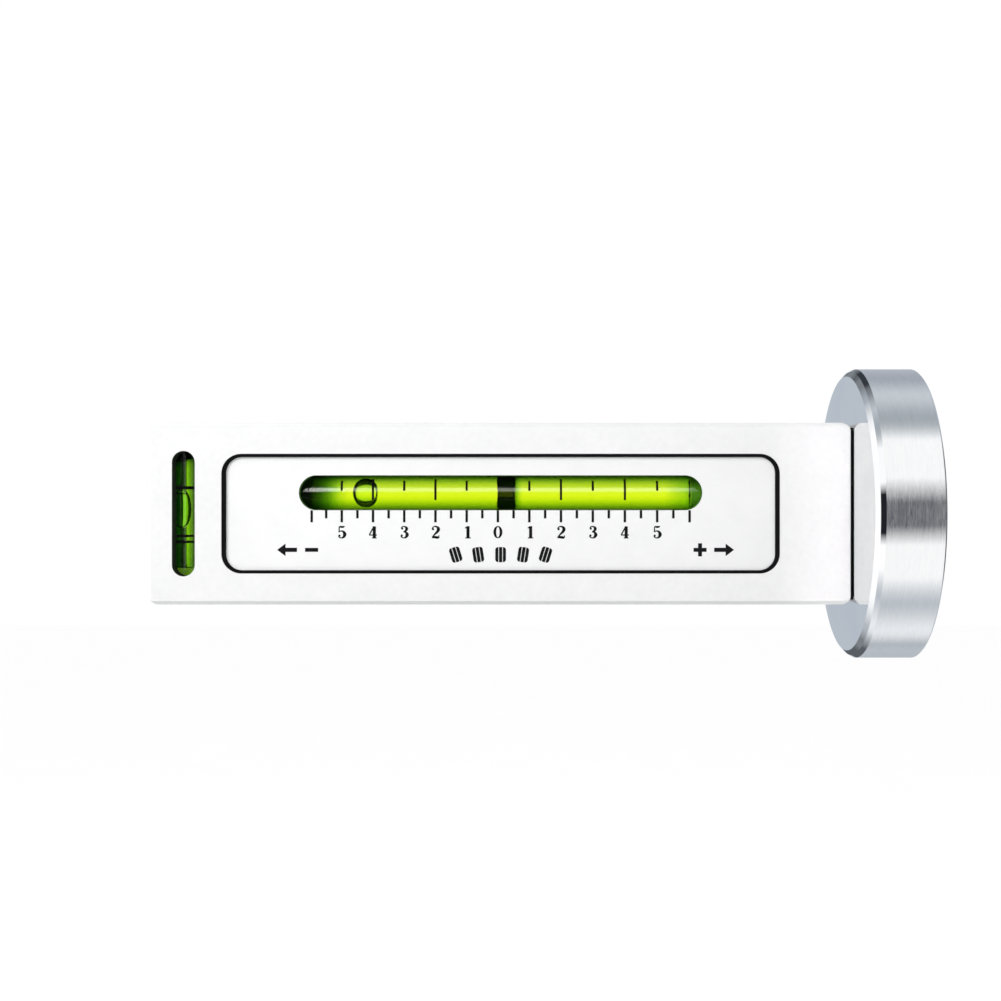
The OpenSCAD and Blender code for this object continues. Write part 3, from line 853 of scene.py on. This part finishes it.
def signs(ink, listed):
    """Arrows and signs, each at its place from the plate's middle."""
    for kind, offset in listed:
        if kind == "minus":
            minus(ink, middle_x + offset, SIGN_Z)
        elif kind == "plus":
            plus(ink, middle_x + offset, SIGN_Z)
        else:
            arrow(ink, middle_x + offset, SIGN_Z, 1 if kind == "right" else -1)


def tyre(ink, x, z, lean):
    """A tyre seen from the front: three tread ribs close together, with round shoulders."""
    c, s = math.cos(lean), math.sin(lean)
    ink.bar(x, z, TYRE_RIB, TYRE_HIGH, lean)
    outer_rib = [(a, -b) for a, b in TYRE_SHOULDER] + list(reversed(TYRE_SHOULDER))
    for side in (-1, 1):
        ink.outline([
            (x + c * side * a - s * b, z + s * side * a + c * b) for a, b in outer_rib
        ])


ticks = Print("camber_ticks", front_y, -1)
for half in range(-HALF_DEGREES, HALF_DEGREES + 1):
    tick(ticks, degree_x(half / 2), half % 2 == 0)
ticks.finish()

numerals = Print("camber_numerals", front_y, -1)
for degree in range(-NUMBERED_DEGREES, NUMBERED_DEGREES + 1):
    numerals.number(str(abs(degree)), degree_x(degree), NUMERAL_Z, NUMERAL_HIGH)
numerals.finish()

camber_signs = Print("camber_signs", front_y, -1)
signs(camber_signs, CAMBER_SIGNS)
camber_signs.finish()

wheels = Print("camber_wheel_signs", front_y, -1)
for step in range(-WHEELS_ASIDE, WHEELS_ASIDE + 1):
    tyre(wheels, middle_x + step * WHEEL_STEP, WHEEL_Z, -step * WHEEL_LEAN)
wheels.finish()


# ---------------------------------------------------------------- marks on the long vial
def tube_mark(points, faces, x, wide, z_low, z_high, axis_z, radius, steps=6):
    """A strip of ink round the front of a vial that lies along X."""
    base = len(points)
    a0 = math.asin((z_low - axis_z) / radius)
    a1 = math.asin((z_high - axis_z) / radius)
    for i in range(steps + 1):
        a = a0 + (a1 - a0) * i / steps
        for r in (radius - MARK_SUNK, radius + PRINT_THICK):
            for side in (-1, 1):
                points.append((x + side * wide / 2, -r * math.cos(a), axis_z + r * math.sin(a)))
    for i in range(steps):
        p, q = base + 4 * i, base + 4 * (i + 1)
        faces += [[p + 2, p + 3, q + 3, q + 2], [p, q, q + 1, p + 1],
                  [p, p + 2, q + 2, q], [p + 1, q + 1, q + 3, p + 3]]
    end = base + 4 * steps
    faces += [[base, base + 1, base + 3, base + 2], [end, end + 2, end + 3, end + 1]]


def mark_x(degree):
    """The vial's marks lie deeper than the ticks, so they stand a little further apart."""
    return CAMERA_PLACE[0] + (degree_x(degree) - CAMERA_PLACE[0]) * MARK_SPREAD


mark_points, mark_faces = [], []
for degrees, wide, ends in VIAL_MARKS:
    for degree in degrees:
        for low_z, high_z in ends:
            tube_mark(mark_points, mark_faces, mark_x(degree), wide, low_z, high_z, tube_z, tube_r)
new_mesh("camber_vial_marks", mark_points, mark_faces, MATERIALS["black_band"])


# ---------------------------------------------------------------- liquid
def rod(name, radius, start_mm, end_mm, centre, axis, material, sides=96):
    """A full round rod of liquid with rounded shoulders, along X (axis 0) or Z (axis 2)."""
    narrow, cut = radius - ROD_SHOULDER, ROD_SHOULDER_CUT * ROD_SHOULDER
    rings = [
        (start_mm, narrow), (start_mm + cut, radius - cut), (start_mm + ROD_SHOULDER, radius),
        (end_mm - ROD_SHOULDER, radius), (end_mm - cut, radius - cut), (end_mm, narrow),
    ]
    points, faces = [], []
    for along, r in rings:
        for i in range(sides):
            t = 2 * math.pi * i / sides
            u, v = r * math.cos(t), r * math.sin(t)
            if axis == 0:
                points.append((along, centre[0] + u, centre[1] + v))
            else:
                points.append((centre[0] + u, centre[1] + v, along))
    for k in range(len(rings) - 1):
        for i in range(sides):
            j = (i + 1) % sides
            faces.append([k * sides + i, k * sides + j, (k + 1) * sides + j, (k + 1) * sides + i])
    faces.append(list(reversed(range(sides))))
    last = (len(rings) - 1) * sides
    faces.append([last + i for i in range(sides)])
    piece = new_mesh(name, points, faces, material, smooth=True)
    piece.data.polygons[len(piece.data.polygons) - 1].use_smooth = False
    piece.data.polygons[len(piece.data.polygons) - 2].use_smooth = False
    return piece


low, high = node_box_mm("camber_vial_fluid")
long_liquid = rod(
    "camber_liquid", (high.z - low.z) / 2 - ROD_SLACK, low.x, high.x,
    ((low.y + high.y) / 2, (low.z + high.z) / 2), 0, MATERIALS["vial_liquid"],
)
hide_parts("camber_vial_fluid")
low, high = node_box_mm("level_vial_fluid")
cross_liquid = rod(
    "level_liquid", (high.x - low.x) / 2 - ROD_SLACK, low.z, high.z,
    ((low.x + high.x) / 2, (low.y + high.y) / 2), 2, level_liquid,
)
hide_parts("level_vial_fluid")


def bubble(name, node, body, axis, steps=32, sides=64):
    """A smooth, slightly squared egg of air that fills a node's box, along X (0) or Z (2)."""
    low, high = node_box_mm(node)
    middle, half = (low + high) / 2, (high - low) / 2
    others = [i for i in range(3) if i != axis]
    points, faces = [], []
    for i in range(1, steps):
        t = math.pi * i / steps
        along, across = -math.cos(t), math.sin(t) ** BUBBLE_FULLNESS
        for j in range(sides):
            u = 2 * math.pi * j / sides
            point = list(middle)
            point[axis] += half[axis] * along
            point[others[0]] += half[others[0]] * across * math.cos(u)
            point[others[1]] += half[others[1]] * across * math.sin(u)
            points.append(point)
    for i in range(steps - 2):
        for j in range(sides):
            k = (j + 1) % sides
            faces.append([i * sides + j, i * sides + k, (i + 1) * sides + k, (i + 1) * sides + j])
    for end, ring in ((-1, 0), (1, (steps - 2) * sides)):
        tip = list(middle)
        tip[axis] += end * half[axis]
        points.append(tip)
        for j in range(sides):
            k = (j + 1) % sides
            pair = [ring + j, ring + k]
            faces.append((pair if end > 0 else pair[::-1]) + [len(points) - 1])
    piece = new_mesh(name, points, faces, MATERIALS["air_bubble"], smooth=True)
    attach(piece, body)
    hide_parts(node)


bubble("level_air", "level_bubble", "level_bubble", 2)


# ---------------------------------------------------------------- print on the caster scale
back_y = node_box_mm("caster_scale_plate")[1].y
caster = Print("caster_ticks", back_y, 1)
caster_numbers = Print("caster_numerals", back_y, 1)
for degree in range(-CASTER_DEGREES, CASTER_DEGREES + 1):
    x = middle_x + CASTER_ZERO + degree * CASTER_DEGREE
    numbered = degree % CASTER_NUMBER_EVERY == 0
    tick(caster, x, numbered)
    if numbered:
        caster_numbers.number(str(abs(degree)), x, NUMERAL_Z, NUMERAL_HIGH)
signs(caster, CASTER_SIGNS)
caster.finish()
caster_numbers.finish()


# ---------------------------------------------------------------- floor, light and camera
def floor_material():
    """Plain pale floor: it reads white to the camera and keeps the object's shadow."""
    material, tree, mm = start("pale_floor")
    speckle = noise(tree, mm, 0.02, 3.0)
    colour = blend_colour(tree, speckle, rgb(0.80, 0.80, 0.80), rgb(0.83, 0.83, 0.83))
    matte = add(tree, "BsdfDiffuse", {"Color": colour})
    glow = add(tree, "Emission", {"Color": rgb(1, 1, 1), "Strength": FLOOR_GLOW})
    both = add(tree, "AddShader", {0: matte.outputs[0], 1: glow.outputs[0]})
    ray = add(tree, "LightPath").outputs
    seen = highest(tree, ray["Is Camera Ray"], ray["Is Glossy Ray"], ray["Is Transmission Ray"])
    mixed = add(tree, "MixShader", {0: seen, 1: matte.outputs[0], 2: both.outputs[0]})
    return finished(material, tree, mixed)


half = FLOOR_SIZE / 2 * MM
floor_mesh = bpy.data.meshes.new("floor")
floor_mesh.from_pydata(
    [(-half, -half, 0), (half, -half, 0), (half, half, 0), (-half, half, 0)], [], [[0, 1, 2, 3]]
)
floor_mesh.materials.append(floor_material())
floor = bpy.data.objects.new("floor", floor_mesh)
floor.location = (0, 0, FLOOR_Z * MM)
bpy.context.scene.collection.objects.link(floor)
floor.visible_glossy = False


# What the metal sees round the X axis: 0 is ahead of the front, 90 above, 180 behind. The ramp
# gives at most 1, so a higher value only widens the white between its neighbours.
BANDS = [
    (-180, (0.48, 0.53, 0.59)),
    (-172, (0.46, 0.51, 0.57)),
    (-150, (0.46, 0.50, 0.55)),
    (-134, (0.52, 0.55, 0.59)),
    (-124, (0.38, 0.42, 0.46)),
    (-112, (0.82, 0.84, 0.86)),
    (-98, (0.88, 0.90, 0.92)),
    (-79, (0.48, 0.52, 0.56)),
    (-68, (0.52, 0.56, 0.60)),
    (-54, (0.92, 0.93, 0.94)),
    (-40, (1.24, 1.24, 1.24)),
    (0, (1.14, 1.14, 1.14)),
    (26, (1.30, 1.30, 1.30)),
    (46, (1.42, 1.42, 1.42)),
    (60, (1.00, 1.01, 1.02)),
    (72, (0.36, 0.40, 0.43)),
    (86, (0.36, 0.40, 0.44)),
    (104, (0.64, 0.68, 0.72)),
    (118, (0.48, 0.52, 0.57)),
    (132, (0.34, 0.37, 0.42)),
    (150, (0.42, 0.45, 0.50)),
    (172, (0.46, 0.51, 0.57)),
    (180, (0.49, 0.54, 0.60)),
]


# Where the studio's panels stand round the metal. A pair is where one starts and where it is full,
# as a direction's X, or in degrees round the X axis as in BANDS.
PANEL_RIGHT, PANEL_LEFT = (0.14, 0.09), (-0.58, -0.44)
PANEL_OVER, PANEL_UNDER, PANEL_SEAM = (96, 114), (-112, -134), (173, 170)
CORE_ACROSS, CORE_UNDER = (-0.34, -0.24), (-120, -136)
CORE_OVER_FRONT, CORE_OVER_BACK = (112, 124), (158, 147)
CORE_UNDER_STRENGTH = 0.6
FLAG_ACROSS, END_ACROSS, END_UP = (0.82, 0.90), (0.986, 0.993), (-0.12, 0.14)
WALL_ACROSS = (-0.60, -0.82)
POST_ROUND, POST_FAR, POST_NEAR = (29, 18), (-0.97, -0.93), (-0.20, -0.24)
GAP_LOW, GAP_HIGH, GAP_NEAR, GAP_FAR = (-24, -9), (28, 9), (0.19, 0.205), (0.31, 0.27)
CARD_ROUND, CARD_ACROSS = (110, 95), (0.17, 0.14)
STRIP_LOW, STRIP_HIGH, STRIP_ACROSS = (1, 11), (35, 25), (0.122, 0.116)
GLARE_ACROSS, GLARE_STRENGTH = (-0.088, -0.108), (3.0, 11.0)
DAY_UP = (-0.6, 0.6)


def studio_world():
    """White round the camera's and the glass's rays, a soft studio for the metal's."""
    world = bpy.data.worlds.new("studio")
    world.use_nodes = True
    tree = world.node_tree
    tree.nodes.clear()
    way = add(tree, "SeparateXYZ", {0: add(tree, "TexCoord").outputs["Generated"]}).outputs
    round_x = calc(tree, "ARCTAN2", way[2], calc(tree, "MULTIPLY", way[1], -1.0))
    away = calc(tree, "ABSOLUTE", round_x)
    aside = calc(tree, "ABSOLUTE", way[0])
    bands = add(tree, "ValToRGB", {0: ramp_value(tree, round_x, -math.pi, math.pi)})
    fill_ramp(bands.color_ramp, [((degrees + 180) / 360, colour) for degrees, colour in BANDS])
    pattern = bands.outputs["Color"]

    # behind, above and below, grey panels with a dark middle, which only the cup's bevels see
    panel_round = highest(
        tree, turn_ramp(tree, round_x, *PANEL_OVER), turn_ramp(tree, round_x, *PANEL_UNDER)
    )
    panel = product(
        tree,
        ramp_value(tree, way[0], *PANEL_RIGHT), ramp_value(tree, way[0], *PANEL_LEFT),
        panel_round, turn_ramp(tree, away, *PANEL_SEAM),
    )
    core_over = product(
        tree, turn_ramp(tree, round_x, *CORE_OVER_FRONT), turn_ramp(tree, round_x, *CORE_OVER_BACK)
    )
    core_under = turn_ramp(tree, round_x, *CORE_UNDER, 0.0, CORE_UNDER_STRENGTH)
    core = product(
        tree, ramp_value(tree, way[0], *CORE_ACROSS), highest(tree, core_over, core_under)
    )
    panel_colour = blend_colour(tree, core, rgb(0.20, 0.22, 0.24), rgb(0.035, 0.04, 0.05))
    pattern = blend_colour(tree, panel, pattern, panel_colour)

    # a dark flag far to the right shades the bevel of the mounting face; straight out from that
    # face there is light
    flag = ramp_value(tree, way[0], *FLAG_ACROSS)
    pattern = blend_colour(tree, flag, pattern, rgb(0.14, 0.15, 0.165))
    end_light = blend_colour(
        tree, ramp_value(tree, way[2], *END_UP), rgb(0.34, 0.36, 0.39), rgb(0.80, 0.82, 0.85)
    )
    pattern = blend_colour(tree, ramp_value(tree, way[0], *END_ACROSS), pattern, end_light)

    # far to the left stands a white wall with one dark post
    wall = ramp_value(tree, way[0], *WALL_ACROSS)
    pattern = blend_colour(tree, wall, pattern, rgb(1.05, 1.05, 1.05))
    post = product(
        tree, turn_ramp(tree, away, *POST_ROUND),
        ramp_value(tree, way[0], *POST_FAR), ramp_value(tree, way[0], *POST_NEAR),
    )
    pattern = blend_colour(tree, post, pattern, rgb(0.015, 0.015, 0.02))

    # a dark gap between two soft boxes, ahead and to the right, that only the disc's rim sees
    gap = product(
        tree,
        turn_ramp(tree, round_x, *GAP_LOW), turn_ramp(tree, round_x, *GAP_HIGH),
        ramp_value(tree, way[0], *GAP_NEAR), ramp_value(tree, way[0], *GAP_FAR),
    )
    pattern = blend_colour(tree, gap, pattern, rgb(0.10, 0.105, 0.12))

    # a dark card round the camera, so that the vial's glass stays clear
    card = product(
        tree, turn_ramp(tree, away, *CARD_ROUND), ramp_value(tree, aside, *CARD_ACROSS)
    )
    pattern = blend_colour(tree, card, pattern, rgb(0.03, 0.03, 0.03))

    # a strip light above the camera, for the gleam along the vial
    strip = product(
        tree,
        turn_ramp(tree, round_x, *STRIP_LOW), turn_ramp(tree, round_x, *STRIP_HIGH),
        ramp_value(tree, aside, *STRIP_ACROSS),
    )
    pattern = blend_colour(tree, strip, pattern, rgb(1.0, 1.0, 1.0))
    glare = calc(
        tree, "MULTIPLY", strip, ramp_value(tree, way[0], *GLARE_ACROSS, *GLARE_STRENGTH)
    )

    daylight = blend_colour(
        tree, ramp_value(tree, way[2], *DAY_UP), rgb(0.63, 0.63, 0.634), rgb(0.747, 0.747, 0.747)
    )
    day = add(tree, "Background", {"Color": daylight, "Strength": 1.0})
    metal = add(
        tree, "Background", {"Color": pattern, "Strength": calc(tree, "ADD", glare, 1.0)}
    )
    white = add(tree, "Background", {"Color": rgb(1, 1, 1), "Strength": 1.0})
    ray = add(tree, "LightPath").outputs
    first = add(
        tree, "MixShader", {0: ray["Is Glossy Ray"], 1: day.outputs[0], 2: metal.outputs[0]}
    )
    seen = highest(tree, ray["Is Camera Ray"], ray["Is Transmission Ray"])
    second = add(tree, "MixShader", {0: seen, 1: first.outputs[0], 2: white.outputs[0]})
    output = add(tree, "OutputWorld")
    tree.links.new(second.outputs[0], output.inputs["Surface"])
    return world


bpy.context.scene.world = studio_world()


def soft_box(name, place, target, size, power):
    data = bpy.data.lights.new(name, "AREA")
    data.shape = "RECTANGLE"
    data.size, data.size_y = size[0] * MM, size[1] * MM
    data.energy = power
    lamp = bpy.data.objects.new(name, data)
    lamp.location = Vector(place) * MM
    aim = (Vector(target) - Vector(place)).to_track_quat("-Z", "Y")
    lamp.rotation_euler = aim.to_euler()
    bpy.context.scene.collection.objects.link(lamp)
    lamp.visible_glossy = False
    lamp.visible_camera = False
    lamp.visible_transmission = False
    return lamp


soft_box("key_box", KEY_PLACE, KEY_TARGET, KEY_SIZE, KEY_POWER)
low, high = node_box_mm("body_bar")
end_x = high.x - END_LAMP_IN
end_lamp = soft_box(
    "end_lamp", (end_x, low.y - END_LAMP_FAR, 0), (end_x, low.y, 0), END_LAMP_SIZE, END_LAMP_POWER
)
end_lamp.data.spread = math.radians(END_LAMP_SPREAD)

camera_data = bpy.data.cameras.new("photo_camera")
camera_data.sensor_width = CAMERA_SENSOR
camera_data.lens = CAMERA_LENS
camera_data.clip_start, camera_data.clip_end = CAMERA_CLIP
camera = bpy.data.objects.new("photo_camera", camera_data)
camera.location = Vector(CAMERA_PLACE) * MM
camera.rotation_euler = (math.radians(90), 0, 0)
bpy.context.scene.collection.objects.link(camera)
bpy.context.scene.camera = camera
bpy.context.scene.view_settings.view_transform = "Standard"
